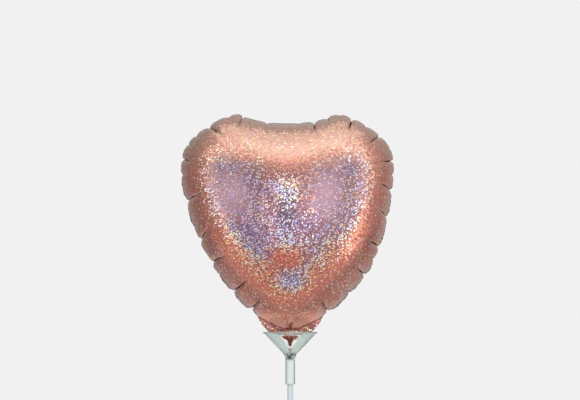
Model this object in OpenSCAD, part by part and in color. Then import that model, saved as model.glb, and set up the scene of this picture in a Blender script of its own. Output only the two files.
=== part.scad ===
// Heart-shaped foil balloon, air-filled, standing in a balloon cup on a hollow stick.
// Millimetres, +Z up. The origin is the centre of the stick's lower end, and the heart faces -Y.

/* [Heart] */
// Width of the inflated heart across its lobes, without its weld
heart_w = 180; // [150:1:240]
// Height of the inflated heart from its blunt tip to the top of its lobes, without its weld
heart_h = 184.5; // [150:0.5:240]
// Thickness of the inflated heart, front to back
heart_depth = 98; // [60:1:120]
// Width of the flat welded edge outside the inflated part
seal_w = 3; // [2:0.5:6]
// Thickness of each foil panel
foil_t = 0.1; // [0.05:0.05:0.3]

/* [Valve] */
// Thickness of each of the two valve films
valve_t = 0.1; // [0.05:0.05:0.2]
// Width of the valve inside the balloon
valve_w = 16; // [10:1:20]
// Height of the valve above the rim of the cup
valve_h = 40; // [20:1:60]

/* [Cup] */
// Outer diameter of the cup's cone at its rim, without the lip
cup_d = 44.4; // [42:0.2:50]
// Height of the whole cup, from the mouth of the socket to the rim
cup_h = 44; // [40:1:50]
// Height of the cone
cone_h = 18.5; // [17:0.5:20]
// Wall of the cone, measured level
cone_wall = 1.4; // [1:0.1:1.8]
// How far the thin lip stands out round the rim
lip_w = 1; // [0.5:0.1:2]
// Outer diameter of the socket
socket_d = 8.2; // [7.4:0.2:9]
// Diameter of the hole that the balloon's tail goes down
throat_d = 4; // [3.6:0.1:4.2]
// Width of each window at its top edge
window_w = 17.8; // [12:0.2:18]
// Height of each window
window_h = 10.2; // [8:0.2:11]

/* [Stick] */
// Length of the stick
stick_len = 300; // [150:10:400]
// Outer diameter of the stick
stick_d = 4.7; // [4.4:0.1:5]
// Wall of the stick
stick_wall = 0.8; // [0.5:0.1:1]
// Length of stick that goes into the socket
stick_in = 13; // [8:1:13]

/* [Hidden] */
$fn = 96;

running_gap = 0.05;                      // radial, between the stick's inserted end and its socket
end_relief = 0.2;                        // radial, how much slimmer the inserted end is
socket_z = stick_len - stick_in;         // mouth of the socket
rim_z = socket_z + cup_h;                // rim of the cup, and tip of the inflated heart
neck_z = rim_z - cone_h;                 // where the cone ends
neck_d = 11.2;                           // outer diameter there
lip_t = 0.8;                             // thickness of the lip
window_drop = 4;                         // from the rim to the top edge of a window
window_round = 1.6;                      // radius of a window's corners
bead_w = 1.1;                            // width of the raised bead round a window
bead_t = 0.5;                            // how far the bead stands out of the cone

// The heart's right half is four cubic curves, from the notch to the tip. Each point is [x, z],
// as shares of the half width and of the height.
heart_curves = [
    [[0, 0.945], [0.15, 0.945], [0.26, 1], [0.48, 1]],
    [[0.48, 1], [0.76, 1], [1, 0.88], [1, 0.735]],
    [[1, 0.735], [1, 0.58], [0.86, 0.32], [0.36, 0.1]],
    [[0.36, 0.1], [0.25, 0.04], [0.12, 0], [0, 0]],
];
curve_steps = 9;                         // pieces that each of the first three curves is cut into
dome_rings = 9;                          // rings from the edge of the inflated part to its crown
dome_power = 2.6;                        // 2 is an ellipse; more gives a flatter crown
crown = [0, 0.55 * heart_h];             // centre of the rings

// The tail's right edge, from the last corner of the heart down into the throat. Each row is
// [share of the way along the heart's last curve, x, z above the rim].
tail_edge = [
    [0.3, 19.2, 0], [0.55, 3.4, -16.5], [0.7, 1.5, -19], [0.85, 1.5, -28], [1, 0, -28],
];
valve_edge = [[valve_w / 2, valve_h], [valve_w / 2, -8], [2.4, -16], [1, -19], [1, -28]];

function bezier(p, t) =
    pow(1 - t, 3) * p[0] + 3 * pow(1 - t, 2) * t * p[1] + 3 * (1 - t) * t * t * p[2] + pow(t, 3) * p[3];
function bezier_slope(p, t) =
    3 * (pow(1 - t, 2) * (p[1] - p[0]) + 2 * (1 - t) * t * (p[2] - p[1]) + t * t * (p[3] - p[2]));
function in_mm(p) = [p[0] * heart_w / 2, p[1] * heart_h];
function outward(v) = [-v[1], v[0]] / norm(v);

// Both edges of the weld, as pairs [inner point, outer point], down the right half of the heart
function weld_pair(curve, t) =
    let (at = in_mm(bezier(curve, t)), out = outward(in_mm(bezier_slope(curve, t))))
    [at, at + seal_w * out];
right_half = concat(
    [for (c = [0:2], i = [0:curve_steps - 1]) weld_pair(heart_curves[c], i / curve_steps)],
    [weld_pair(heart_curves[3], 0)],
    [for (e = tail_edge) [in_mm(bezier(heart_curves[3], e[0])), [e[1], e[2]]]]
);
function mirrored(pair) = [for (p = pair) [-p[0], p[1]]];
weld = concat(right_half, [for (i = [len(right_half) - 2:-1:1]) mirrored(right_half[i])]);
inner_edge = [for (pair = weld) pair[0]];
outer_edge = [for (pair = weld) pair[1]];

// One skin of a foil panel: the outer edge, the inner edge and the rings of the dome, then its crown.
// It is level at y = base outside the dome, and the dome's inner edge lies inset inside the weld.
function ring(share, inset) =
    [for (p = inner_edge) crown + (p - crown) * (1 - inset / norm(p - crown)) * share];
function at_y(points, y) = [for (p = points) [p[0], y, p[1]]];
function skin(base, inset) =
    let (rise = heart_depth / 2 + base - inset)
    concat(
        at_y(outer_edge, base),
        [for (k = [0:dome_rings - 1]) let (a = 90 * k / dome_rings)
            each at_y(ring(pow(cos(a), 2 / dome_power), inset), base - rise * sin(a))],
        [[crown[0], base - rise, crown[1]]]
    );
function strip(a, b, n) =
    [for (i = [0:n - 1]) let (j = (i + 1) % n) each [[a + i, a + j, b + j], [a + i, b + j, b + i]]];
function turned(faces) = [for (f = faces) [f[0], f[2], f[1]]];
function skin_faces(first, n) = concat(
    [for (k = [0:dome_rings - 1]) each strip(first + k * n, first + (k + 1) * n, n)],
    [for (i = [0:n - 1])
        [first + dome_rings * n + i, first + dome_rings * n + (i + 1) % n, first + (dome_rings + 1) * n]]
);

module foil_panel() {
    n = len(weld);
    inner_first = (dome_rings + 1) * n + 1;
    translate([0, 0, rim_z])
        polyhedron(
            points = concat(skin(-valve_t - foil_t, 0), skin(-valve_t, foil_t)),
            faces = concat(
                turned(skin_faces(0, n)), skin_faces(inner_first, n), strip(0, inner_first, n)
            )
        );
}

// A flat sheet of film drawn in the heart's plane, from y = low to y = low + thickness
module film(low, thickness) {
    translate([0, low + thickness, rim_z]) rotate([90, 0, 0]) linear_extrude(thickness) children();
}

module valve_outline() {
    polygon(concat(valve_edge, [for (i = [len(valve_edge) - 1:-1:0]) [-valve_edge[i][0], valve_edge[i][1]]]));
}

module front_foil_panel() {
    color("#b9796a") foil_panel();
}

module back_foil_panel() {
    color("#b9796a") mirror([0, 1, 0]) foil_panel();
}

module perimeter_heat_seal() {
    color("#a9685b") film(-valve_t, 2 * valve_t) difference() {
        polygon(outer_edge);
        polygon(inner_edge);
        valve_outline();
    }
}

module valve_front_film() {
    color("#e4ecef") film(-valve_t, valve_t) valve_outline();
}

module valve_back_film() {
    color("#e4ecef") film(0, valve_t) valve_outline();
}

// The cup's outer shape, filled, with its cone grown by extra
module cup_solid(extra) {
    rotate_extrude() polygon([
        [0, socket_z], [socket_d / 2 - 0.5, socket_z], [socket_d / 2, socket_z + 0.5],
        [socket_d / 2, neck_z - 3.5], [neck_d / 2 + extra, neck_z], [cup_d / 2 + extra, rim_z], [0, rim_z],
    ]);
}

// Everything inside the cup: the stick's socket, the tail's hole and the hollow of the cone
module cup_hollow() {
    bore = stick_d / 2 - end_relief + running_gap;
    rotate_extrude() polygon([
        [0, socket_z - 1], [bore, socket_z - 1], [bore, socket_z + stick_in],
        [throat_d / 2, socket_z + stick_in], [throat_d / 2, neck_z - 1], [neck_d / 2 - cone_wall, neck_z],
        [cup_d / 2 - cone_wall, rim_z], [cup_d / 2 - cone_wall, rim_z + 1], [0, rim_z + 1],
    ]);
}

// A triangle that points down, with its corners rounded: grow widens it all round
module window_outline(grow) {
    r = window_round;
    hull() for (c = [[window_w / 2 - 1.6 * r, -r], [0, 1.6 * r - window_h], [1.6 * r - window_w / 2, -r]])
        translate(c) circle(r + grow, $fn = 32);
}

// Cuts or fills the front and the back of the cone, as seen along Y
module window_prism(grow) {
    translate([0, cup_d, rim_z - window_drop]) rotate([90, 0, 0])
        linear_extrude(2 * cup_d) window_outline(grow);
}

module balloon_cup() {
    color("#cfe3dc", 0.6) difference() {
        union() {
            cup_solid(0);
            translate([0, 0, rim_z - lip_t]) cylinder(h = lip_t, d = cup_d + 2 * lip_w);
            intersection() {
                cup_solid(bead_t);
                window_prism(bead_w);
            }
        }
        cup_hollow();
        window_prism(0);
    }
}

module balloon_stick() {
    color("#e6edf2") difference() {
        union() {
            cylinder(h = socket_z, d = stick_d);
            cylinder(h = stick_len, d = stick_d - 2 * end_relief);
        }
        translate([0, 0, -1]) cylinder(h = stick_len + 2, d = stick_d - 2 * stick_wall);
    }
}

front_foil_panel();
back_foil_panel();
perimeter_heat_seal();
valve_front_film();
valve_back_film();
balloon_cup();
balloon_stick();
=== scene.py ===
"""A rose-gold heart-shaped foil balloon in its cup on a stick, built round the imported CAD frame.

Lengths are in metres. Two flat sheets of film, welded round their edge, are inflated by a cloth simulation,
which gives the heart its crowned shape. The weld's puckers, creases and fold are modelled on top of that.
"""
import math

import bmesh
import bpy
import numpy as np
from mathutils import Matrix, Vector, noise
from mathutils.geometry import delaunay_2d_cdt
from mathutils.kdtree import KDTree


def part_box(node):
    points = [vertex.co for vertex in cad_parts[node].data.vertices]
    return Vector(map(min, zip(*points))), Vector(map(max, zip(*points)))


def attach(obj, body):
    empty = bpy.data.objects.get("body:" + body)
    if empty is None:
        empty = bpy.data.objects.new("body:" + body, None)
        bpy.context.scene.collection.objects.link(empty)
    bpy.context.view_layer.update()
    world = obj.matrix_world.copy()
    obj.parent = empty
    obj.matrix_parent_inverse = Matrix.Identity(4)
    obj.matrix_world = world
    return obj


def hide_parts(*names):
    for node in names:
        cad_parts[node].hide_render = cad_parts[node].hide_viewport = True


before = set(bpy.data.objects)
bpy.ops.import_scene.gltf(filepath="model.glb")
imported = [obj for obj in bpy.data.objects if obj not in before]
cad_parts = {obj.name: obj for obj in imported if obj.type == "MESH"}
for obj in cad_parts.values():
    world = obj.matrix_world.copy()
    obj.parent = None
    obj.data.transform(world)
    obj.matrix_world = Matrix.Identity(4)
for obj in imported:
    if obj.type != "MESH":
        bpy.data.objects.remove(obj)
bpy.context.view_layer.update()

MM = 0.001

# ---------------------------------------------------------------- places, from the frame
panel_lo, panel_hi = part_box("front_foil_panel")
back_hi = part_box("back_foil_panel")[1]
cup_lo, cup_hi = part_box("balloon_cup")
stick_lo, stick_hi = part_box("balloon_stick")
RIM_Z = cup_hi[2]
HEART_W = panel_hi[0] - panel_lo[0]
HEART_TOP = panel_hi[2]
HEART_DEPTH = back_hi[1] - panel_lo[1]
TAIL_END_Z = panel_lo[2]
CUP_R = (cup_hi[0] - cup_lo[0]) / 2
SOCKET_Z = cup_lo[2]
STICK_R = (stick_hi[0] - stick_lo[0]) / 2

# ---------------------------------------------------------------- the flat film
FLAT_W = 0.230
FLAT_H = 0.226
SIM_STEP = 3.0 * MM           # spacing of the simulated sheets' points
WELD_W = 2.4 * MM             # width of the welded edge
FILM_GAP = 0.05 * MM          # from the middle of the weld to the inside of each film
FILM_T = 0.06 * MM
OUTER_FILM = (FILM_GAP, FILM_GAP + FILM_T)

# The right half of the flat heart, from its notch to its tip, as shares of the half width and the height
FLAT_CURVES = [
    [(0, 1), (0.14, 1), (0.28, 1), (0.45, 1)],
    [(0.45, 1), (0.655, 1), (1, 0.867), (1, 0.67)],
    [(1, 0.67), (1, 0.53), (0.918, 0.327), (0.568, 0.138)],
    [(0.568, 0.138), (0.42, 0.062), (0.235, 0), (0, 0)],
]
# Where the weld puckers: shares of the way from the notch to the tip. A deep pucker starts a long crease.
DEEP_RIGHT = (0.077, 0.197, 0.284, 0.380, 0.459, 0.531, 0.626, 0.734, 0.880)
SHALLOW_RIGHT = (0.116, 0.157, 0.238, 0.420, 0.674, 0.805)
DEEP_LEFT = (0.133, 0.238, 0.374, 0.486, 0.600, 0.686, 0.801, 0.872)
SHALLOW_LEFT = (0.060, 0.179, 0.284, 0.323, 0.419)
FAINT_RIGHT = (0.033,)
FAINT_LEFT = (0.559, 0.728)
TAIL_FROM = 0.872             # the tail's sides leave the weld here


def bezier(p, t):
    p = np.array(p, float)
    t = np.asarray(t, float)[:, None]
    return (1 - t) ** 3 * p[0] + 3 * (1 - t) ** 2 * t * p[1] + 3 * (1 - t) * t * t * p[2] + t ** 3 * p[3]


def eased(v, low, high):
    t = np.clip((v - low) / (high - low), 0, 1)
    return t * t * (3 - 2 * t)


def weld_line(step):
    """Even points round the flat weld, clockwise from the notch. The tip is the middle one."""
    t = np.linspace(0, 1, 600)
    half = np.vstack([bezier(c, t)[:-1] for c in FLAT_CURVES] + [[[0, 0]]]) * [FLAT_W / 2, FLAT_H]
    along = np.r_[0, np.cumsum(np.linalg.norm(np.diff(half, axis=0), axis=1))]
    s = np.linspace(0, along[-1], round(along[-1] / step) + 1)
    right = np.c_[np.interp(s, along, half[:, 0]), np.interp(s, along, half[:, 1])]
    return np.vstack([right, right[1:-1][::-1] * [-1, 1]])


def inward_of(line):
    """Unit vectors that point to the inside of a closed clockwise line."""
    tangent = np.roll(line, -1, 0) - np.roll(line, 1, 0)
    tangent /= np.linalg.norm(tangent, axis=1)[:, None]
    return np.c_[tangent[:, 1], -tangent[:, 0]]


def inside(polygon, points):
    x, z = points[:, 0], points[:, 1]
    hit = np.zeros(len(points), bool)
    for (ax, az), (bx, bz) in zip(polygon, np.roll(polygon, 1, 0)):
        if az != bz:
            hit ^= ((az > z) != (bz > z)) & (x < (bx - ax) * (z - az) / (bz - az) + ax)
    return hit


def tree_of(points):
    """A search tree of points of two or three coordinates."""
    tree = KDTree(len(points))
    for i, point in enumerate(points):
        tree.insert((*point, 0)[:3], i)
    tree.balance()
    return tree


def nearest_on(line, points):
    """For each point, its distance to the line and the index of the line's nearest point."""
    tree = tree_of(line)
    hits = [tree.find((x, z, 0)) for x, z in points]
    return np.array([h[2] for h in hits]), np.array([h[1] for h in hits])


def honeycomb(line, step):
    """Points of an even triangular grid inside the line."""
    lo, hi = line.min(0), line.max(0)
    rows = []
    for k, z in enumerate(np.arange(lo[1], hi[1], step * math.sqrt(3) / 2)):
        x = np.arange(lo[0] + (k % 2) * step / 2, hi[0], step)
        rows.append(np.c_[x, np.full(len(x), z)])
    grid = np.vstack(rows)
    return grid[inside(line, grid)]


def triangulated(line, inner):
    """Triangles between a closed line and the points inside it. The line's points come first."""
    n = len(line)
    rim = [(i, (i + 1) % n) for i in range(n)]
    verts, _, tris, *_ = delaunay_2d_cdt([Vector(p) for p in np.vstack([line, inner])], rim, [], 0, 1e-9)
    verts, tris = np.array([v[:] for v in verts]), np.array([t[:] for t in tris])
    tris = tris[inside(line, verts[tris].mean(1))]
    a, b, c = (verts[tris[:, k]] for k in range(3))
    turn = (b - a)[:, 0] * (c - a)[:, 1] - (b - a)[:, 1] * (c - a)[:, 0]
    tris[turn < 0] = tris[turn < 0][:, ::-1]
    return verts, tris


def linked(name, data):
    """A new object in the scene with that mesh, curve, light or camera."""
    obj = bpy.data.objects.new(name, data)
    bpy.context.scene.collection.objects.link(obj)
    return obj


def new_object(name, points, faces):
    mesh = bpy.data.meshes.new(name)
    mesh.from_pydata([tuple(p) for p in points], [], [tuple(int(i) for i in f) for f in faces])
    mesh.validate()
    return linked(name, mesh)


def evaluated(obj):
    return obj.evaluated_get(bpy.context.evaluated_depsgraph_get())


# ---------------------------------------------------------------- inflation
SIM_SCALE = 10                # the solver is steady on a film this many times life size
SIM_FRAMES = 50
FIRST_RISE = 10 * MM          # height of the low dome that each sheet starts from
FIRST_REACH = 80 * MM         # how far from the weld that dome is full


def add_cloth(film, loose):
    """Gives the film a cloth simulation that blows up its loose points and keeps its flat lengths."""
    blown = film.vertex_groups.new(name="blown")
    blown.add(loose, 1, "REPLACE")
    cloth = film.modifiers.new("cloth", "CLOTH")
    s = cloth.settings
    s.quality = 6
    s.mass = 0.2
    s.tension_stiffness = 80
    s.compression_stiffness = 0.02
    s.shear_stiffness = 10
    s.bending_model = "ANGULAR"
    s.bending_stiffness = 60
    s.tension_damping = s.compression_damping = s.shear_damping = 5
    s.bending_damping = 0.5
    s.air_damping = 10
    s.use_pressure = True
    s.uniform_pressure_force = 5
    s.vertex_group_pressure = "blown"
    s.rest_shape_key = film.data.shape_keys.key_blocks["flat"]
    s.effector_weights.gravity = 0
    cloth.collision_settings.use_collision = False
    cloth.point_cache.frame_end = SIM_FRAMES


def inflated_film(flat, start, faces, loose):
    """Where the points of two welded flat sheets lie once blown up. start is where they begin."""
    film = new_object("film", flat * SIM_SCALE, faces)
    film.shape_key_add(name="flat")
    nudged = film.shape_key_add(name="start")
    nudged.data.foreach_set("co", (start * SIM_SCALE).ravel())
    nudged.value = 1
    add_cloth(film, loose)
    for f in range(1, SIM_FRAMES + 1):
        bpy.context.scene.frame_set(f)
    done = evaluated(film).data
    points = np.empty(3 * len(flat))
    done.vertices.foreach_get("co", points)
    bpy.context.scene.frame_set(1)
    mesh = film.data
    bpy.data.objects.remove(film)
    bpy.data.meshes.remove(mesh)
    return points.reshape(-1, 3) / SIM_SCALE


def blown_sheets():
    """One sheet's flat points, and where inflation takes them in the front sheet and in the back one."""
    weld = weld_line(SIM_STEP)
    n = len(weld)
    grid = honeycomb(weld, SIM_STEP)
    grid = grid[nearest_on(weld, grid)[0] > 0.75 * SIM_STEP]
    sheet, tris = triangulated(weld, grid)
    inner = len(sheet) - n
    depth = nearest_on(weld, sheet[n:])[0]

    def stacked(rise):
        xz = np.vstack([weld, weld - inward_of(weld) * WELD_W, sheet[n:], sheet[n:]])
        return np.c_[xz[:, 0], np.r_[np.zeros(2 * n), -rise, rise], xz[:, 1]]

    front_of = np.r_[np.arange(n), 2 * n + np.arange(inner)]
    back_of = np.r_[np.arange(n), 2 * n + inner + np.arange(inner)]
    ring = np.arange(n)
    following = (ring + 1) % n
    faces = [*front_of[tris], *back_of[tris][:, ::-1], *np.c_[ring, ring + n, following + n, following]]
    loose = [int(i) for i in np.unique(np.r_[front_of, back_of])]
    rise = FIRST_RISE * np.sqrt(1 - (1 - np.clip(depth / FIRST_REACH, 0, 1)) ** 2)
    blown = fitted(inflated_film(stacked(0 * depth), stacked(rise), faces, loose))
    return sheet, blown[front_of], blown[back_of]


def fitted(points):
    """Scales the inflated heart to the size of the CAD heart, with its tip on the cup's rim."""
    lo, hi = points.min(0), points.max(0)
    size = np.array([HEART_W, HEART_DEPTH, HEART_TOP - RIM_Z + TOP_LOBES])
    middle = (lo + hi) / 2
    middle[2] = lo[2]
    return (points - middle) * size / (hi - lo) + [0, 0, RIM_Z]


FIT_POINTS = 60               # how many simulated points each smoothed point is fitted to
FIT_REACH = 7 * MM


def smooth_fit(sources, values, targets, reach):
    """Values and their slopes at the targets, from quadrics fitted to the sources near each."""
    tree = tree_of(sources)
    near = np.array([[hit[1] for hit in tree.find_n((x, z, 0), FIT_POINTS)] for x, z in targets])
    delta = (sources[near] - targets[:, None]) / reach
    dx, dz = delta[..., 0], delta[..., 1]
    weight = np.exp(-dx * dx - dz * dz)
    basis = np.stack([np.ones_like(dx), dx, dz, dx * dx, dx * dz, dz * dz], 2)
    moments = np.einsum("tk,tki,tkj->tij", weight, basis, basis)
    sums = np.einsum("tk,tki,tkv->tiv", weight, basis, values[near])
    fit = np.linalg.solve(moments, sums)
    return fit[:, 0], fit[:, 1] / reach, fit[:, 2] / reach


def even_fit(sources, values, targets, reach):
    """A smooth fit made the same on the left and on the right."""
    here = smooth_fit(sources, values, targets, reach)
    there = smooth_fit(sources, values, targets * [-1, 1], reach)
    signs = (np.array([-1, 1, 1]), np.array([1, -1, -1]), np.array([-1, 1, 1]))
    return tuple((a + b * sign) / 2 for a, b, sign in zip(here, there, signs))


def unit(vectors):
    return vectors / np.linalg.norm(vectors, axis=-1, keepdims=True)


# ---------------------------------------------------------------- the fine film, with its puckers
TOP_LOBES = 1.2 * MM          # what the puckers take off the top of the outline
FINE_STEP = 0.65 * MM         # spacing along the weld
COARSE_STEP = 2.5 * MM        # spacing in the middle
FINE_BAND = 45 * MM           # how far in the spacing grows
RING_GAP = 1.5                # distance between rings, as a share of the spacing along them
JOIN_REACH = 4 * MM           # how far from the weld the film is drawn onto it
ROLL_REACH = 5 * MM           # from the weld to where a pucker pulls along the film's normal
WELD_FLAT = 0.2               # share of the weld's wave to the front and back that is kept
WELD_ROWS = 4
FLANGE_SHADE = 0.70           # how much painted shade the folded weld gets, on the creases' scale of 0 to 1
FLANGE_ANGLE = math.radians(72)    # how far the welded edge is folded to the back
# How the whole heart bends: how far, and at which heights over the cup's rim
SWING_RIGHT, SWING_MIDDLE, SWING_REACH = 2.0 * MM, 50 * MM, 24 * MM
SWING_LEFT, SWING_FROM, SWING_FULL = 2.4 * MM, 70 * MM, 135 * MM


def spacing(depth):
    return FINE_STEP + (COARSE_STEP - FINE_STEP) * (depth / FINE_BAND) ** 3


def graded_sheet():
    """The weld's line, and the points and triangles of a flat sheet, fine at the weld and coarse inside."""
    line = weld_line(FINE_STEP)
    inward = inward_of(line)
    inner, depth = [], 0
    while spacing(depth) < COARSE_STEP:
        depth += RING_GAP * spacing(depth)
        ring = line + inward * depth
        length = np.linalg.norm(ring - np.roll(ring, 1, 0), axis=1).sum()
        count = round(length / spacing(depth))
        pick = np.round(np.linspace(0, len(line), count, endpoint=False)).astype(int)
        inner.append(ring[pick % len(line)])
    grid = honeycomb(line, COARSE_STEP)
    inner.append(grid[nearest_on(line, grid)[0] > depth + 0.8 * COARSE_STEP])
    return line, *triangulated(line, np.vstack(inner))


# A pucker's notch, the depth and the length of its crease, and the step across it, in millimetres
DEEP = (2.2, 2.4, 13, 1.0)
SHALLOW = (1.2, 1.0, 5.5, 0.5)
FAINT = (0.6, 0.35, 4, 0.3)
LOBE_REACH = 9 * MM           # the most that a pucker's notch widens on each side


class Pucker:
    """A pucker of the weld: a notch in the outline between two lobes, and a crease that runs inwards."""

    def __init__(self, place, size, rng):
        notch, cut, length, step = size
        self.place = place
        self.notch = notch * MM * rng.uniform(0.8, 1.2)
        self.cut = cut * MM * rng.uniform(0.85, 1.2)
        self.length = length * MM * rng.uniform(0.75, 1.2)
        self.width = rng.uniform(0.52, 0.68) * MM
        self.slant = rng.uniform(-0.30, 0.30)
        self.step = rng.choice([-1, 1]) * rng.uniform(0.2, 0.45) * step * MM
        self.reach = [LOBE_REACH, LOBE_REACH]


def puckers(length):
    """All the puckers in order round a weld of that length, with each lobe's half width on both sides."""
    rng = np.random.default_rng(7)
    half = length / 2
    right = ((DEEP_RIGHT, DEEP), (SHALLOW_RIGHT, SHALLOW), (FAINT_RIGHT, FAINT))
    left = ((DEEP_LEFT, DEEP), (SHALLOW_LEFT, SHALLOW), (FAINT_LEFT, FAINT))
    found = [(s * half, size) for group, size in right for s in group]
    found += [((2 - s) * half, size) for group, size in left for s in group]
    found = [Pucker(place, size, rng) for place, size in sorted(found)]
    for here, after in zip(found, found[1:] + found[:1]):
        reach = min((after.place - here.place) % length / 2, LOBE_REACH)
        here.reach[1] = after.reach[0] = reach
    return found


def pucker_depth(along, inset, length):
    """How far each point is pulled in by the puckers, and from 0 to 1 how deep it lies in a crease.

    along is each point's place along the weld, and inset how far inside the outline the front shows it.
    """
    total = np.zeros_like(along)
    fold = np.zeros_like(along)
    for p in puckers(length):
        side = (along - p.place - p.slant * inset + length / 2) % length - length / 2
        away = np.abs(side)
        reach = np.where(side < 0, *p.reach)
        lobe = (1 - np.clip(away / reach, 0, 1)) ** 2.3
        wide = p.width * (1 + 0.3 * inset / p.length)
        cut = np.exp(-(away / wide) ** 1.3)
        step = np.tanh(side / wide) * np.exp(-away / (3 * MM))
        fade = 1 - np.clip(inset / p.length, 0, 1) ** 2
        total += p.notch * lobe * np.exp(-(inset / (0.6 * p.length)) ** 1.5)
        total += (p.cut * cut + p.step * step) * fade
        fold = np.maximum(fold, np.exp(-(away / (1.05 * wide)) ** 2) * fade)
    return total, fold


def fine_wrinkles(along, depth):
    """Small radial wrinkles next to the weld."""
    values = [noise.noise((s / (3.5 * MM), d / (14 * MM), 3)) for s, d in zip(along, depth)]
    return 0.22 * MM * np.array(values) * np.exp(-depth / (7 * MM)) * eased(depth, 0, 2 * MM)


def leaning(points):
    """Bends the heart a little: its lower half swings to +X and its lobes to -X."""
    points = points.copy()
    up = points[:, 2] - RIM_Z
    points[:, 0] += SWING_RIGHT * np.exp(-((up - SWING_MIDDLE) / SWING_REACH) ** 2)
    points[:, 0] -= SWING_LEFT * eased(up, SWING_FROM, SWING_FULL)
    return points


def weld_width(along):
    """The width of the folded weld as a share of the full one: it nearly ends where the tail begins."""
    from_notch = np.minimum(along, along[-1] - along) / (along[-1] / 2)
    return 1 - 0.85 * eased(from_notch, TAIL_FROM - 0.012, TAIL_FROM + 0.002)


def weld_edge(line, outward, along):
    """Rows of points across the welded edge, which folds towards the back and is finely crimped."""
    rows = []
    swing = np.array([noise.noise((s / (16 * MM), 0, 8)) for s in along])
    narrow = weld_width(along)
    fold = FLANGE_ANGLE + 0.35 * swing
    crimp = np.sin(along / (1.15 * MM) + 5 * swing) + 0.6 * np.sin(along / (0.71 * MM))
    direction = outward * np.cos(fold)[:, None] + np.array([0, 1, 0]) * np.sin(fold)[:, None]
    across = -outward * np.sin(fold)[:, None] + np.array([0, 1, 0]) * np.cos(fold)[:, None]
    for share in np.linspace(0, 1, WELD_ROWS):
        out = (share * WELD_W * narrow)[:, None]
        rows.append(line + direction * out + across * (0.16 * MM * share * narrow * crimp)[:, None])
    return rows


def film_piece(name, points, faces, low, high, folds=None):
    """A sheet of film as a closed piece, from low to high off the given surface along its normals."""
    obj = new_object(name, points, faces)
    # The fold attribute sets how much painted shade the foil gets at each point: in the creases and on the
    # folded weld.
    if folds is not None:
        obj.data.attributes.new("fold", "FLOAT", "POINT").data.foreach_set("value", folds)
    offset = obj.modifiers.new("offset", "DISPLACE")
    offset.mid_level = 0
    offset.strength = low
    thick = obj.modifiers.new("thickness", "SOLIDIFY")
    thick.thickness = high - low
    thick.offset = 1
    apply_modifiers(obj)
    smooth_shading(obj, 50)
    return obj


def apply_modifiers(obj):
    bpy.context.view_layer.update()
    done = bpy.data.meshes.new_from_object(evaluated(obj))
    obj.modifiers.clear()
    old, obj.data = obj.data, done
    bpy.data.meshes.remove(old)


def smooth_shading(obj, angle=None):
    obj.data.polygons.foreach_set("use_smooth", [True] * len(obj.data.polygons))
    if angle is not None:
        obj.data.set_sharp_from_angle(angle=math.radians(angle))


def strips(first, rows, n):
    """Quads between rows of n points that go round."""
    ring = np.arange(n)
    following = (ring + 1) % n
    rows = [first] + rows
    return [
        quad for a, b in zip(rows, rows[1:])
        for quad in np.c_[b + ring, b + following, a + following, a + ring]
    ]


def puckered(side, fit, weld, outward, depth, nearest, along):
    """One panel's points with its puckers, and how deep each lies in a crease. side is 1 for the front."""
    place, dx, dz = fit
    normal = unit(side * np.cross(dx, dz))
    place = place + (weld - place[:len(weld)])[nearest] * np.exp(-depth / JOIN_REACH)[:, None]
    inset = nearest_on(weld[:, [0, 2]], place[:, [0, 2]])[0]
    pull, fold = pucker_depth(along[nearest], inset, along[-1])
    turn = eased(depth, 0, ROLL_REACH)[:, None]
    direction = unit((1 - turn) * outward[nearest] + turn * normal)
    wrinkle = fine_wrinkles(along[nearest], depth)
    return leaning(place - direction * pull[:, None] + normal * wrinkle[:, None]), fold


def build_heart():
    """The front panel, the back panel and the band between them, with the line where the panels meet."""
    source, front_blown, back_blown = blown_sheets()
    line, sheet, tris = graded_sheet()
    n = len(line)
    depth, nearest = nearest_on(line, sheet)
    along = np.r_[0, np.cumsum(np.linalg.norm(np.roll(line, -1, 0) - line, axis=1))]

    fits = [even_fit(source, blown, sheet, FIT_REACH) for blown in (front_blown, back_blown)]
    weld = (fits[0][0][:n] + fits[1][0][:n]) / 2
    weld[:, 1] *= WELD_FLAT
    outward = -inward_of(weld[:, [0, 2]])
    outward = np.c_[outward[:, 0], np.zeros(n), outward[:, 1]]
    panels = [puckered(side, fit, weld, outward, depth, nearest, along) for side, fit in zip((1, -1), fits)]

    edge = (panels[0][0][:n] + panels[1][0][:n]) / 2
    rows = weld_edge(edge, outward, along[:-1])
    shade = np.tile(FLANGE_SHADE * weld_width(along[:-1]), WELD_ROWS - 1)
    pieces = []
    for name, (points, fold), flip in zip(("front_foil", "back_foil"), panels, (1, -1)):
        edge_faces = strips(0, [len(points) + n * k for k in range(WELD_ROWS - 1)], n)
        faces = [tuple(face[::flip]) for face in [*tris, *edge_faces]]
        points = np.vstack([points, *rows[1:]])
        pieces.append(film_piece(name, points, faces, *OUTER_FILM, np.r_[fold, shade]))
    band_faces = strips(0, [n * k for k in range(1, WELD_ROWS)], n)
    band = film_piece("heat_seal_band", np.vstack(rows), band_faces, -FILM_GAP, FILM_GAP)
    return *pieces, band, edge


front_foil, back_foil, heat_seal, weld_points = build_heart()


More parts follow.
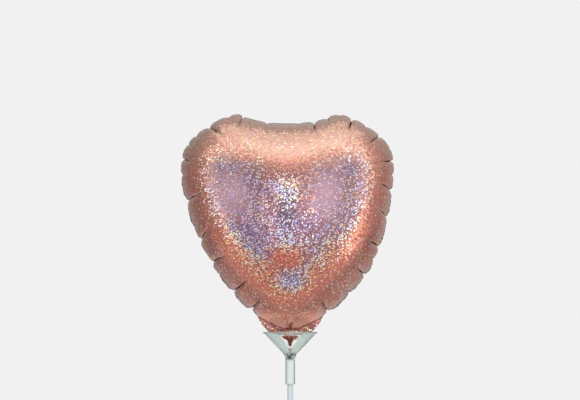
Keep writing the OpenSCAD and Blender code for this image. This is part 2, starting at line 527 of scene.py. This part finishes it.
# ---------------------------------------------------------------- the tail and the valve
# The tail's right edge, from where it leaves the weld down to its end: half width and height above the rim
TAIL_EDGE = [
    (31 * MM, 20 * MM), (25.4 * MM, 8.2 * MM), (19.6 * MM, 1.4 * MM), (17.6 * MM, 0), (10 * MM, -1.2 * MM),
    (7.8 * MM, -3 * MM), (6.6 * MM, -5.2 * MM), (2.7 * MM, -6.8 * MM), (1.9 * MM, -9 * MM),
    (1.5 * MM, -15 * MM), (1.4 * MM, TAIL_END_Z - RIM_Z + 0.3 * MM),
]
TAIL_COLUMNS = 73
TAIL_LOW = -1 * MM            # height above the rim below which the tail's rows are level
TAIL_FOLDS = 3.0              # half waves on each side of its middle
TAIL_TWIST = math.radians(70)
VALVE_HALF_W = 8 * MM
VALVE_TOP = 38 * MM           # above the rim
VALVE_COLUMNS = 25
VALVE_GAP = 0.005 * MM        # from each ply to the foil, and to the tail's middle surface


def tail_half_width(z):
    edge = np.array(TAIL_EDGE)[::-1]
    return np.interp(z, edge[:, 1], edge[:, 0])


def tail_surface(share, half, z):
    """Points of the gathered tail: share is how far to the side they lie, z is measured up from the rim.

    It ripples softly from where it leaves the heart, folds like a fan in the cup and twists in the throat.
    """
    fold = np.minimum(0.42 * half, 1.5 * MM) * eased(-z, 0.5 * MM, 9 * MM)
    ripple = 0.35 * MM * eased(-z, -14 * MM, 0)
    x = half * share
    y = fold * np.sin(math.pi * TAIL_FOLDS * share + 60 * z) + ripple * np.sin(9 * share + 300 * z)
    twist = TAIL_TWIST * eased(-z, 6 * MM, 14 * MM)
    cos, sin = np.cos(twist), np.sin(twist)
    return np.stack([x * cos - y * sin, x * sin + y * cos, z + RIM_Z], -1)


def tail_tops(shares):
    """For each share across the tail, the height above the rim where it meets the weld."""
    low = weld_points[weld_points[:, 2] < RIM_Z + 40 * MM]
    order = np.argsort(low[:, 0])
    z = np.linspace(22 * MM, TAIL_LOW, 400)
    tops = []
    for share in shares:
        weld_z = np.interp(tail_half_width(z) * share, low[order, 0], low[order, 2]) - RIM_Z
        tops.append(z[np.argmax(z <= weld_z)])
    return np.array(tops)


def sheet_faces(rows, columns):
    return [
        (r * columns + c, (r + 1) * columns + c, (r + 1) * columns + c + 1, r * columns + c + 1)
        for r in range(rows - 1) for c in range(columns - 1)
    ]


def tail_sheet(name, low, high):
    """One foil layer of the tail, from low to high off its middle surface, towards the front."""
    shares = np.sin(np.linspace(-math.pi / 2, math.pi / 2, TAIL_COLUMNS))
    v = np.linspace(0, 1, 19)[:-1, None]
    upper = tail_tops(shares) * (1 - v) + TAIL_LOW * v
    level = np.linspace(TAIL_LOW, TAIL_EDGE[-1][1], 70)[:, None]
    z = np.vstack([upper, np.repeat(level, TAIL_COLUMNS, 1)])
    points = tail_surface(np.broadcast_to(shares, z.shape), tail_half_width(z), z)
    return film_piece(name, points.reshape(-1, 3), sheet_faces(*z.shape), low, high)


def valve_ply(name, low, high):
    """One ply of the valve, from low to high off the tail's middle surface, which it follows down."""
    z = np.repeat(np.linspace(VALVE_TOP, TAIL_EDGE[-1][1], 100)[:, None], VALVE_COLUMNS, 1)
    half = tail_half_width(z)
    share = np.linspace(-1, 1, VALVE_COLUMNS) * np.minimum(VALVE_HALF_W / half, 0.6)
    points = tail_surface(share, half, z)
    return film_piece(name, points.reshape(-1, 3), sheet_faces(*z.shape), low, high)


front_tail = tail_sheet("front_foil_tail", *OUTER_FILM)
back_tail = tail_sheet("back_foil_tail", -FILM_GAP - FILM_T, -FILM_GAP)
valve_front = valve_ply("valve_front_ply", VALVE_GAP, FILM_GAP - VALVE_GAP)
valve_back = valve_ply("valve_back_ply", VALVE_GAP - FILM_GAP, -VALVE_GAP)


# ---------------------------------------------------------------- the cup
CUP_SIDES = 160
CUP_WALL = 1.25 * MM
CONE_H = 18.5 * MM
LIP_W = 1.0 * MM              # how far the lip stands out of the cone
LIP_H = 0.9 * MM
NECK_R = 5.4 * MM
SOCKET_R = 4.05 * MM
THROAT_R = 2.0 * MM
SOCKET_BORE_R = 2.22 * MM
STICK_IN = stick_hi[2] - SOCKET_Z
WINDOW_W = 15.0 * MM
WINDOW_H = 9.6 * MM
WINDOW_DROP = 3.4 * MM
WINDOW_ROUND = 1.7 * MM
BEAD_R = 0.95 * MM
BEAD_OUT = 0.7 * MM           # from the window's edge to the middle of the bead
BEAD_SUNK = 0.15 * MM         # from the cone's outer face in to the middle of the bead


def lathe(name, profile, sides):
    """A closed profile of (radius, z) turned about the Z axis. It may touch the axis nowhere."""
    angles = np.linspace(0, 2 * math.pi, sides, endpoint=False)
    points = [(r * math.cos(a), r * math.sin(a), z) for a in angles for r, z in profile]
    n = len(profile)
    faces = []
    for k in range(sides):
        a, b = k * n, (k + 1) % sides * n
        faces += [(a + i, b + i, b + (i + 1) % n, a + (i + 1) % n) for i in range(n)]
    obj = new_object(name, points, faces)
    tidy_normals(obj)
    return obj


def tidy_normals(obj):
    bm = bmesh.new()
    bm.from_mesh(obj.data)
    bmesh.ops.recalc_face_normals(bm, faces=bm.faces)
    bm.to_mesh(obj.data)
    bm.free()


def rounded(corners, radius, steps=5):
    """A closed polygon with each corner cut back to an arc of about that radius."""
    out = []
    corners = [Vector(c) for c in corners]
    for before, corner, after in zip([corners[-1]] + corners[:-1], corners, corners[1:] + [corners[0]]):
        a, b = before - corner, after - corner
        cut = min(radius, 0.45 * a.length, 0.45 * b.length)
        start, end = corner + a.normalized() * cut, corner + b.normalized() * cut
        for k in range(steps + 1):
            t = k / steps
            out.append(tuple((1 - t) ** 2 * start + 2 * t * (1 - t) * corner + t * t * end))
    return out


def window_outline(grow):
    """The window's rounded triangle in the X-Z plane, widened by grow along its sides."""
    top = RIM_Z - WINDOW_DROP + grow
    half = WINDOW_W / 2 + 1.7 * grow
    corners = [(half, top), (0, top - WINDOW_H - 2.2 * grow), (-half, top)]
    return rounded(corners, WINDOW_ROUND + grow, 7)


def prism(name, outline, y_from, y_to):
    n = len(outline)
    points = [(x, y_from, z) for x, z in outline] + [(x, y_to, z) for x, z in outline]
    faces = [tuple(range(n)), tuple(range(2 * n - 1, n - 1, -1))]
    faces += [(i, (i + 1) % n, n + (i + 1) % n, n + i) for i in range(n)]
    obj = new_object(name, points, faces)
    tidy_normals(obj)
    return obj


def boolean(obj, other, operation):
    mod = obj.modifiers.new(operation.lower(), "BOOLEAN")
    mod.object = other
    mod.operation = operation
    mod.solver = "EXACT"
    apply_modifiers(obj)
    bpy.data.objects.remove(other)


def cone_radius(z):
    """The outer radius of the cone at a height."""
    return NECK_R + (CUP_R - LIP_W - NECK_R) * (z - (RIM_Z - CONE_H)) / CONE_H


def window_bead(name, side):
    """A round bead that follows the window's edge on the cone's outer face."""
    ring = bead_line(1)
    curve = bpy.data.curves.new(name, "CURVE")
    curve.dimensions = "3D"
    curve.bevel_depth = BEAD_R
    curve.bevel_resolution = 4
    spline = curve.splines.new("POLY")
    spline.points.add(len(ring) - 1)
    for point, (x, y, z) in zip(spline.points, ring):
        point.co = (x, side * y, z, 1)
    spline.use_cyclic_u = True
    obj = linked(name, curve)
    mesh = bpy.data.meshes.new_from_object(evaluated(obj))
    bpy.data.objects.remove(obj)
    bead = linked(name, mesh)
    tidy_normals(bead)
    return bead


def bead_line(steps):
    """Points along the bead of the window on the back of the cone, with each side cut into steps."""
    ring = np.array(window_outline(BEAD_OUT))
    share = np.linspace(0, 1, steps, endpoint=False)[:, None]
    ring = np.vstack([(1 - share) * a + share * b for a, b in zip(ring, np.roll(ring, -1, 0))])
    return [(x, math.sqrt(max((cone_radius(z) - BEAD_SUNK) ** 2 - x * x, 0)), z) for x, z in ring]


def mark_milky(cup):
    """Gives each face of the cup how milky its plastic is: 1 on the window's beads and 0 elsewhere."""
    tree = tree_of(bead_line(6))
    centres = [face.center for face in cup.data.polygons]
    milky = [float(tree.find((x, abs(y), z))[2] < 1.3 * BEAD_R) for x, y, z in centres]
    cup.data.attributes.new("milky", "FLOAT", "FACE").data.foreach_set("value", milky)


def build_cup():
    neck_z = RIM_Z - CONE_H
    lip = CUP_R - LIP_W
    profile = rounded([
        (SOCKET_BORE_R, SOCKET_Z), (SOCKET_R, SOCKET_Z), (SOCKET_R, neck_z - 3.2 * MM), (NECK_R, neck_z),
        (lip, RIM_Z - LIP_H), (CUP_R, RIM_Z - LIP_H), (CUP_R, RIM_Z), (lip - CUP_WALL, RIM_Z),
        (NECK_R - CUP_WALL, neck_z + 0.2 * MM), (THROAT_R, neck_z - 1.6 * MM),
        (THROAT_R, SOCKET_Z + STICK_IN), (SOCKET_BORE_R, SOCKET_Z + STICK_IN),
    ], 0.45 * MM, 4)
    cup = lathe("cup_body", profile, CUP_SIDES)
    for side in (-1, 1):
        boolean(cup, window_bead("bead", side), "UNION")
    boolean(cup, prism("window", window_outline(0), -2 * CUP_R, 2 * CUP_R), "DIFFERENCE")
    smooth_shading(cup, 32)
    mark_milky(cup)
    return cup


cup = build_cup()


# ---------------------------------------------------------------- the stick
STICK_WALL = 0.75 * MM
STICK_RELIEF = 0.2 * MM       # how much thinner the stick is inside the socket


def build_stick():
    inner = STICK_R - STICK_WALL
    top = STICK_R - STICK_RELIEF
    profile = rounded([
        (inner, 0), (STICK_R, 0), (STICK_R, SOCKET_Z - 0.3 * MM), (top, SOCKET_Z + 0.5 * MM),
        (top, stick_hi[2]), (inner, stick_hi[2]),
    ], 0.2 * MM, 3)
    stick = lathe("stick_tube", profile, 64)
    smooth_shading(stick, 40)
    return stick


stick = build_stick()


# ---------------------------------------------------------------- materials
def set_stops(color_ramp, stops):
    elements = color_ramp.elements
    while len(elements) < len(stops):
        elements.new(0.5)
    for element, (place, colour) in zip(elements, stops):
        element.position = place
        element.color = (*colour, 1)


def wire(tree, socket, value):
    """Wires an output to a socket, or sets the socket's own value."""
    if isinstance(value, bpy.types.NodeSocket):
        tree.links.new(value, socket)
    else:
        socket.default_value = value


def add_node(tree, kind, inputs, settings):
    node = tree.nodes.new("ShaderNode" + kind)
    for key, value in settings.items():
        setattr(node, key, value)
    for key, value in dict(inputs).items():
        wire(tree, node.inputs[key], value)
    return node


class Shader:
    """A Principled material with short ways to add and wire nodes."""

    def __init__(self, name, **values):
        self.material = bpy.data.materials.new(name)
        self.material.use_nodes = True
        self.tree = self.material.node_tree
        self.bsdf = self.tree.nodes["Principled BSDF"]
        for key, value in values.items():
            self.bsdf.inputs[key.replace("_", " ").title().replace("Ior", "IOR")].default_value = value

    def set(self, name, value):
        wire(self.tree, self.bsdf.inputs[name], value)

    def node(self, kind, inputs=(), **settings):
        return add_node(self.tree, kind, inputs, settings)

    def math(self, operation, *values, clamp=False):
        return self.node("Math", enumerate(values), operation=operation, use_clamp=clamp).outputs[0]

    def vector(self, operation, *values):
        return self.node("VectorMath", enumerate(values), operation=operation).outputs[0]

    def mix(self, factor, a, b, blend="MIX"):
        node = self.node("Mix", {"Factor": factor}, data_type="RGBA", blend_type=blend)
        for socket, value in zip([s for s in node.inputs if s.type == "RGBA"], (a, b)):
            wire(self.tree, socket, value)
        return [s for s in node.outputs if s.type == "RGBA"][0]

    def between(self, value, low, high, to_low=0.0, to_high=1.0):
        inputs = {0: value, 1: low, 2: high, 3: to_low, 4: to_high}
        return self.node("MapRange", inputs, interpolation_type="SMOOTHSTEP").outputs[0]

    def ramp(self, factor, stops):
        node = self.node("ValToRGB", {0: factor})
        set_stops(node.color_ramp, stops)
        return node.outputs[0]

    def near(self, value, centre, reach):
        """1 where the value is at the centre, falling to 0 at that reach from it."""
        return self.between(self.away(value, centre), reach, 0.0)

    def away(self, value, centre):
        return self.math("ABSOLUTE", self.math("SUBTRACT", value, centre))

    def times(self, *values):
        total = values[0]
        for value in values[1:]:
            total = self.math("MULTIPLY", total, value)
        return total

    def shifted(self, value, *masks):
        """The value with each (mask, amount) added to it."""
        for mask, amount in masks:
            value = self.math("ADD", value, self.times(mask, amount))
        return value

    def painted(self, base, *layers):
        """The base colour with each (mask, colour) laid over it in turn."""
        for mask, colour in layers:
            base = self.mix(mask, base, (*colour, 1))
        return base

    def set_bump(self, height, strength, distance):
        bump = self.node("Bump", {"Height": height, "Strength": strength, "Distance": distance})
        self.set("Normal", bump.outputs[0])


def object_point(shader):
    return shader.node("TexCoord").outputs["Object"]


# ---------------------------------------------------------------- the glitter film
ROSE_GOLD = (0.56, 0.215, 0.16)
PAINTED_SHEEN_GOLD = (0.545, 0.31, 0.228)   # painted sheen: paler where the film faces up, towards the overhead lights
GRAIN_SCALE = 1700.0
DOT_SCALE = 880.0
DOT_STRETCH = (0.8, 0.8, 1.0)      # below 1 makes the dots longer that way
DOT_TILT = (0.20, 0.20, 0.20)
# The heart of painted glints and reflections on the film's front: its middle, half its width and height, and
# the line of its lower flanks
GLITTER_X, GLITTER_UP = -1.5 * MM, 82 * MM
GLITTER_W, GLITTER_H = 72 * MM, 54 * MM
FLANK_UP, FLANK_SLOPE = 28 * MM, 0.95
RING = 0.90                        # heart_distance() on the painted bright ring of glints round it

# Painted glint colours of the dots that flash, from where the film turns away to where it faces the front
FLASH_HUES = [
    (0.66, (0.85, 0.26, 0.16)), (0.765, (1.0, 0.30, 0.15)),
    (0.81, (1.0, 0.64, 0.22)), (0.84, (1.0, 0.95, 0.72)),
    (0.88, (0.90, 1.0, 0.98)), (0.925, (0.40, 0.62, 1.0)),
    (0.97, (0.52, 0.38, 0.95)), (1.0, (0.95, 0.60, 0.70)),
]
# Colours of the stray dots outside the heart
SPECK_HUES = [
    (0.0, (1.0, 0.26, 0.24)), (0.25, (1.0, 0.72, 0.30)), (0.5, (0.55, 1.0, 0.42)),
    (0.75, (0.50, 0.62, 1.0)), (1.0, (0.90, 0.48, 1.0)),
]


class FoilShader(Shader):
    """The film's shader, with the measures that its colours share, among them the heart of painted glints
    and reflections on its front.
    """

    def __init__(self, name):
        super().__init__(name, metallic=1.0, roughness=0.2, coat_weight=0.5, coat_roughness=0.12)
        self.at = object_point(self)
        place = self.node("SeparateXYZ", {0: self.at}).outputs
        self.x, self.up = place[0], self.math("SUBTRACT", place[2], RIM_Z)
        self.turned = self.node("SeparateXYZ", {0: self.node("TexCoord").outputs["Normal"]}).outputs
        self.square_on = self.math("ABSOLUTE", self.turned[1])
        dots = self.vector("MULTIPLY", self.at, DOT_STRETCH)
        self.cells = self.node("TexVoronoi", {"Vector": dots, "Scale": DOT_SCALE}).outputs
        self.red, self.green, self.blue = self.node("SeparateColor", {0: self.cells["Color"]}).outputs
        self.far = self.heart_distance()
        heart = self.math("SUBTRACT", 1.0, self.times(self.far, self.far, 0.19))
        # how squarely the film faces the front, drawn into a heart: 1 in its middle, 0.8 round its edge
        self.facing = self.math("ADD", self.times(heart, 0.8), self.times(self.square_on, 0.2))
        clouds = self.node("TexNoise", {"Vector": self.at, "Scale": 34.0, "Detail": 2.0}).outputs[0]
        self.drift = self.between(clouds, 0.35, 0.65, -1.0, 1.0)
        self.zone = self.zones()

    def below(self, high, low, least=0.0, most=1.0):
        """least above the higher level over the cup's rim, and most below the lower one, in millimetres."""
        return self.between(self.up, high * MM, low * MM, least, most)

    def up_near(self, centre, reach):
        return self.near(self.up, centre * MM, reach * MM)

    def heart_distance(self):
        """How far a point is from the middle of the heart of painted glints: about 1 at the heart's edge."""
        aside = self.away(self.x, GLITTER_X)
        across = self.math("DIVIDE", aside, GLITTER_W)
        high = self.math("DIVIDE", self.math("SUBTRACT", self.up, GLITTER_UP), GLITTER_H)
        high = self.math("SUBTRACT", high, self.times(across, across, 0.75))
        far = self.math("SQRT", self.math("ADD", self.times(across, across), self.times(high, high)))
        lobes = self.times(self.near(aside, 54 * MM, 38 * MM), self.between(self.up, 105 * MM, 142 * MM))
        far = self.math("SUBTRACT", far, self.times(lobes, 0.10))
        flank = self.shifted(FLANK_UP, (aside, FLANK_SLOPE))
        above_flank = self.math("DIVIDE", self.math("SUBTRACT", self.up, flank), 75 * MM)
        return self.math("SMOOTH_MAX", far, self.math("SUBTRACT", RING, above_flank), 0.12)

    def zones(self):
        """Places of the heart where the painted glints and reflections have a look of their own, each a mask
        from 0 to 1.
        """
        off_axis = self.away(self.x, -3 * MM)
        beside = self.near(self.away(self.x, -2 * MM), 16 * MM, 13 * MM)
        lobe = self.near(self.away(self.x, -10 * MM), 40 * MM, 24 * MM)
        ends = self.math("ADD", self.up_near(117, 20), self.up_near(76, 13))
        ring = self.between(self.away(self.far, RING), 0.24, 0.06)
        return {
            "highlight_column": self.times(self.between(off_axis, 10 * MM, 4 * MM), self.up_near(97, 44)),
            "crown": self.times(self.between(off_axis, 17 * MM, 3 * MM), ends),
            "warm": self.times(beside, self.up_near(100, 52)),
            "ember": self.times(self.between(off_axis, 25 * MM, 4 * MM), self.up_near(59, 19)),
            "blush": self.times(self.near(self.x, -1 * MM, 30 * MM), self.up_near(136, 20)),
            "foot": self.times(self.near(self.x, 1 * MM, 18 * MM), self.up_near(41, 11)),
            "flank": self.times(ring, self.below(112, 84)),
            "calm": self.times(lobe, self.up_near(114, 36)),
        }


def film_colour_and_painted_light(s):
    """The film's colour, rose gold with a fine, faintly many-coloured grain, with light and shade painted
    in: a paler painted sheen where it faces up, a painted glow outside the ring of glints, painted shade on
    the tail's skirts, towards the bottom and in dark red creases, and painted light just above the cup.
    """
    fine = s.node("TexVoronoi", {"Vector": s.at, "Scale": GRAIN_SCALE}).outputs["Color"]
    grain = s.mix(0.75, (0.5, 0.5, 0.5, 1), fine)
    copper = s.mix(s.between(s.turned[2], -0.2, 0.35), (*ROSE_GOLD, 1), (*PAINTED_SHEEN_GOLD, 1))
    copper = s.mix(1.0, copper, s.mix(1.0, grain, (0.5, 0.5, 0.5, 1), "ADD"), "MULTIPLY")
    # Painted glow: a lighter, redder band just outside the ring of glints.
    glow = s.times(s.near(s.far, 1.07, 0.16), s.below(115, 75, 0.25, 0.75))
    # Painted shade on the tail's flat skirts, which face the front.
    skirt_shade = s.times(s.below(26, 19), s.between(s.square_on, 0.80, 0.97))
    # Painted shade: darker towards the bottom, and in a brown band outside the glow.
    edge = s.times(s.near(s.far, 1.24, 0.15), s.below(100, 75, 0.0, 0.6))
    lower_shade = s.math("MAXIMUM", s.below(75, 30, 0.0, 0.35), edge)
    # Painted light: paler where the film faces down, just above the cup's rim.
    underside_light = s.times(s.below(20, 9), s.between(s.turned[2], -0.25, -0.75))
    # Painted shade in the creases and on the folded weld, from the fold attribute.
    crease = s.between(s.node("Attribute", attribute_name="fold").outputs["Fac"], 0.1, 0.85)
    return s.painted(
        copper, (glow, (0.70, 0.205, 0.175)), (skirt_shade, (0.30, 0.10, 0.085)), (lower_shade, (0.31, 0.115, 0.085)),
        (underside_light, (0.92, 0.36, 0.27)), (crease, (0.13, 0.022, 0.018)),
    )


def flash_colour(s):
    """The painted glint colour of a dot that flashes: in the heart it follows how squarely the film faces
    the front.
    """
    scatter = s.times(s.math("SUBTRACT", s.red, 0.5), 0.20)
    drift = s.times(s.drift, s.between(s.facing, 0.84, 0.92), 0.035)
    reach = s.math("ADD", s.math("ADD", s.facing, scatter), drift)
    reach = s.shifted(
        reach, (s.zone["ember"], -0.23), (s.zone["blush"], -0.12), (s.zone["warm"], -0.10),
        (s.zone["highlight_column"], -0.075), (s.zone["flank"], -0.07), (s.zone["foot"], 0.09),
    )
    hue = s.mix(s.between(s.facing, 0.72, 0.80), s.ramp(s.red, SPECK_HUES), s.ramp(reach, FLASH_HUES))
    return s.painted(hue, (s.times(s.zone["warm"], s.between(s.blue, 0.55, 0.45), 0.75), (1.0, 0.32, 0.28)))


def flash_mask(s):
    """How strongly each point shows a painted glint: a share of the dots do, each by its own amount."""
    many = s.shifted(
        s.between(s.facing, 0.755, 0.84, 0.26, 0.70), (s.zone["calm"], -0.12), (s.zone["highlight_column"], -0.12),
        (s.zone["crown"], 0.45), (s.zone["flank"], 0.25), (s.zone["foot"], 0.10),
        (s.between(s.up, 108 * MM, 140 * MM), -0.16),
    )
    many = s.times(many, s.between(s.facing, 0.10, 0.55, 0.3, 1.0))
    full = s.times(s.math("MAXIMUM", s.zone["crown"], s.zone["flank"]), 0.6)
    strength = s.math("ADD", s.between(s.blue, 0.0, 1.0, 0.4, 1.0), full, clamp=True)
    strength = s.times(strength, s.math("SUBTRACT", 1.0, s.times(s.zone["calm"], 0.25)))
    dot = s.between(s.cells["Distance"], 0.60, 0.40)
    return s.times(s.math("LESS_THAN", s.green, many), strength, dot)


def foil_material(name):
    """Metallised film printed with glitter dots about a millimetre apart, each with its own tilt and hue,
    with painted glints and painted light and shade in its colour.
    """
    s = FoilShader(name)
    # Painted shade and light between the dots: darker where the film faces the front, a clouded painted
    # shadow there, a dark ground round the central highlight, pale painted reflections in the lobes and a
    # painted orange patch low in the heart.
    shadow = s.times(s.between(s.drift, 0.0, 1.0), s.between(s.facing, 0.84, 0.9), 0.55)
    between_dots = s.painted(
        film_colour_and_painted_light(s),
        (s.between(s.facing, 0.78, 0.90, 0.0, 0.8), (0.22, 0.11, 0.15)),
        (s.times(s.zone["calm"], 0.7), (0.70, 0.42, 0.52)),
        (shadow, (0.19, 0.13, 0.22)),
        (s.times(s.zone["highlight_column"], 0.8), (0.085, 0.045, 0.075)),
        (s.times(s.zone["ember"], 0.7), (0.52, 0.12, 0.08)),
    )
    s.set("Base Color", s.mix(flash_mask(s), between_dots, flash_colour(s)))
    tilt = s.vector("SUBTRACT", s.cells["Color"], (0.5, 0.5, 0.5))
    normal = s.node("NewGeometry").outputs["Normal"]
    s.set("Normal", s.vector("NORMALIZE", s.vector("ADD", normal, s.vector("MULTIPLY", tilt, DOT_TILT))))
    return s.material


def weld_material():
    """The welded edge: satin foil with fine crimps across it."""
    s = Shader("heat_seal", metallic=1.0, roughness=0.38)
    grain = s.node("TexNoise", {"Vector": object_point(s), "Scale": 900.0, "Detail": 3.0}).outputs[0]
    s.set("Base Color", s.ramp(grain, [(0.3, (0.18, 0.05, 0.04)), (0.7, (0.32, 0.11, 0.085))]))
    s.set_bump(grain, 0.5, 0.0002)
    return s.material


def valve_material():
    """Thin clear film, slightly milky."""
    s = Shader("valve_film", roughness=0.2, transmission_weight=0.75, ior=1.4)
    cloud = s.node("TexNoise", {"Vector": object_point(s), "Scale": 180.0, "Detail": 4.0}).outputs[0]
    s.set("Base Color", s.ramp(cloud, [(0.3, (0.80, 0.84, 0.86)), (0.7, (0.93, 0.95, 0.96))]))
    return s.material


CUP_CLEAR = 0.78                      # share of the light that the cone lets through
SOCKET_TURN = (-3.0 * MM, -6.0 * MM)  # heights over the neck between which the socket's milky plastic starts


def cup_material():
    """Moulded translucent plastic, pale green and deeper where it is seen edge on, partly as thick plastic
    is and partly as painted shade, with dark streaks painted where the cone narrows into the socket for the
    dark bands that refraction shows there.
    """
    s = Shader("cup_plastic", roughness=0.09, transmission_weight=CUP_CLEAR, ior=1.46)
    at = object_point(s)
    height = s.math("SUBTRACT", s.node("SeparateXYZ", {0: at}).outputs[2], RIM_Z - CONE_H)
    # Darker where the plastic is seen edge on, most on the socket: partly the tint of thick plastic, partly
    # painted shade.
    edge_on = s.node("LayerWeight", {"Blend": 0.5}).outputs["Facing"]
    cloud = s.node("TexNoise", {"Vector": at, "Scale": 70.0, "Detail": 1.0}).outputs[0]
    depth = s.math("MULTIPLY", edge_on, s.between(height, *SOCKET_TURN, 1.0, 1.9))
    depth = s.math("ADD", depth, s.between(cloud, 0.3, 0.7, -0.08, 0.08))
    plastic = s.ramp(depth, [
        (0.05, (0.95, 1.0, 0.98)), (0.40, (0.86, 0.97, 0.93)),
        (0.65, (0.66, 0.83, 0.77)), (0.95, (0.18, 0.33, 0.30)),
    ])
    # Painted shade: dark streaks where the cone narrows into the socket, for the dark bands that refraction
    # shows there.
    streaks = s.node("TexNoise", {"Vector": at, "Scale": 420.0, "Detail": 1.0}).outputs[0]
    neck = s.between(s.away(height, -2.0 * MM), 4.5 * MM, 1.0 * MM)
    neck = s.times(neck, s.between(streaks, 0.42, 0.56), 0.95)
    s.set("Base Color", s.painted(plastic, (neck, (0.05, 0.08, 0.09))))
    milky = s.node("Attribute", attribute_name="milky").outputs["Fac"]
    milky = s.math("MAXIMUM", milky, s.between(height, *SOCKET_TURN, 0.0, 0.75))
    s.set("Transmission Weight", s.between(milky, 0.0, 1.0, CUP_CLEAR, 0.15))
    flow = s.node("TexNoise", {"Vector": at, "Scale": 260.0, "Detail": 2.0}).outputs[0]
    s.set_bump(flow, 0.08, 0.0003)
    return s.material


def stick_material():
    """Extruded translucent plastic with faint draw lines along it."""
    s = Shader("stick_plastic", roughness=0.28, transmission_weight=0.35, ior=1.49)
    lines = s.vector("MULTIPLY", object_point(s), (1.0, 1.0, 0.02))
    streak = s.node("TexNoise", {"Vector": lines, "Scale": 1600.0, "Detail": 2.0}).outputs[0]
    # Darker where the stick is seen edge on: partly the tint of thick plastic, partly painted shade.
    edge_on = s.node("LayerWeight", {"Blend": 0.5}).outputs["Facing"]
    shade = s.math("ADD", edge_on, s.between(streak, 0.3, 0.7, 0.06, -0.06))
    s.set("Base Color", s.ramp(shade, [
        (0.05, (0.93, 0.985, 1.0)), (0.4, (0.74, 0.87, 0.94)), (0.85, (0.28, 0.42, 0.53)),
    ]))
    s.set_bump(streak, 0.2, 0.0001)
    return s.material


def floor_material():
    s = Shader("pale_floor", roughness=0.6)
    s.set("Base Color", (0.80, 0.80, 0.79, 1))
    return s.material


foil = foil_material("rose_gold_foil")
weld = weld_material()
film = valve_material()

for piece, material, node, finish in (
    (front_foil, foil, "front_foil_panel", "front_foil"),
    (front_tail, foil, "front_foil_panel", "front_foil"),
    (back_foil, foil, "back_foil_panel", "back_foil"),
    (back_tail, foil, "back_foil_panel", "back_foil"),
    (heat_seal, weld, "perimeter_heat_seal", "heat_seal"),
    (valve_front, film, "valve_front_film", "valve_film"),
    (valve_back, film, "valve_back_film", "valve_film"),
    (cup, cup_material(), "balloon_cup", "cup_plastic"),
    (stick, stick_material(), "balloon_stick", "stick_plastic"),
):
    piece.data.materials.clear()
    piece.data.materials.append(material)
    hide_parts(node)
    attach(piece, {"balloon_cup": "cup", "balloon_stick": "stick"}.get(node, "balloon"))


# ---------------------------------------------------------------- stage, light and camera
FLOOR_R = 0.9
FLOOR_SIDES = 96
# Brightness of the studio round the object: 0 is straight in front of it and 1 is straight behind it
STUDIO = [
    (0.0, 0.95), (0.14, 0.75), (0.20, 0.9), (0.25, 2.2), (0.30, 1.0),
    (0.36, 0.62), (0.6, 0.45), (0.92, 0.5), (1.0, 0.26),
]
STUDIO_TOP = 0.19             # added overhead
STUDIO_SIDES = (0.88, 1.25)   # factors on the left and on the right
BACKDROP = 0.88               # what the camera sees behind the object, directly or through clear plastic
CAMERA_AIM = (-0.2 * MM, 0, RIM_Z + 113 * MM)
CAMERA_DISTANCE = 1.5
CAMERA_RISE = math.radians(-5.5)
VIEW_WIDTH = 0.497            # width of the picture at the object


def build_stage():
    angles = np.linspace(0, 2 * math.pi, FLOOR_SIDES, endpoint=False)
    points = [(FLOOR_R * math.cos(a), FLOOR_R * math.sin(a), 0) for a in angles]
    floor = new_object("floor", points, [tuple(range(FLOOR_SIDES))])
    floor.data.materials.append(floor_material())


def area_light(name, place, aim, size, power):
    data = bpy.data.lights.new(name, "AREA")
    data.shape = "RECTANGLE"
    data.size, data.size_y = size
    data.energy = power
    light = linked(name, data)
    light.location = place
    light.rotation_euler = (Vector(aim) - Vector(place)).to_track_quat("-Z", "Y").to_euler()


def build_world():
    """A pale studio: what the camera sees is even, and what the film reflects varies softly round it."""
    world = bpy.data.worlds.new("studio")
    bpy.context.scene.world = world
    world.use_nodes = True
    tree = world.node_tree

    def node(kind, *values, **settings):
        return add_node(tree, kind, enumerate(values), settings).outputs

    def calculated(operation, a, b):
        return node("Math", a, b, operation=operation)[0]

    x, y, z = node("SeparateXYZ", node("TexCoord")["Generated"])
    around = node("ValToRGB", node("MapRange", y, -1.0, 1.0, 0.0, 1.0)[0])
    set_stops(around[0].node.color_ramp, [(place, (grey, grey, grey)) for place, grey in STUDIO])
    above = node("MapRange", z, 0.35, 0.95, 0.0, STUDIO_TOP)[0]
    sideways = node("MapRange", x, -1.0, 1.0, *STUDIO_SIDES)[0]
    glow = calculated("MULTIPLY", calculated("ADD", around[0], above), sideways)
    path = node("LightPath")
    seen = calculated("MAXIMUM", path["Is Camera Ray"], path["Is Transmission Ray"])
    unseen = calculated("SUBTRACT", 1.0, seen)
    level = calculated("ADD", calculated("MULTIPLY", glow, unseen), calculated("MULTIPLY", BACKDROP, seen))
    tree.links.new(level, tree.nodes["Background"].inputs[0])


def build_camera():
    aim = Vector(CAMERA_AIM)
    data = bpy.data.cameras.new("camera")
    data.lens = data.sensor_width * CAMERA_DISTANCE / VIEW_WIDTH
    camera = linked("camera", data)
    camera.location = aim + CAMERA_DISTANCE * Vector((0, -math.cos(CAMERA_RISE), math.sin(CAMERA_RISE)))
    camera.rotation_euler = (aim - camera.location).to_track_quat("-Z", "Y").to_euler()
    bpy.context.scene.camera = camera


build_stage()
build_world()
build_camera()
heart_middle = (0, 0, (RIM_Z + HEART_TOP) / 2)
area_light("top_softbox", (0, -0.10, 1.15), heart_middle, (0.9, 0.5), 0.9)
area_light("high_softbox", (0, -0.95, 1.35), heart_middle, (0.7, 0.35), 0.6)
area_light("front_softbox", (0.0, -1.6, 0.62), heart_middle, (0.25, 0.5), 0.6)
bpy.context.scene.view_settings.view_transform = "Standard"
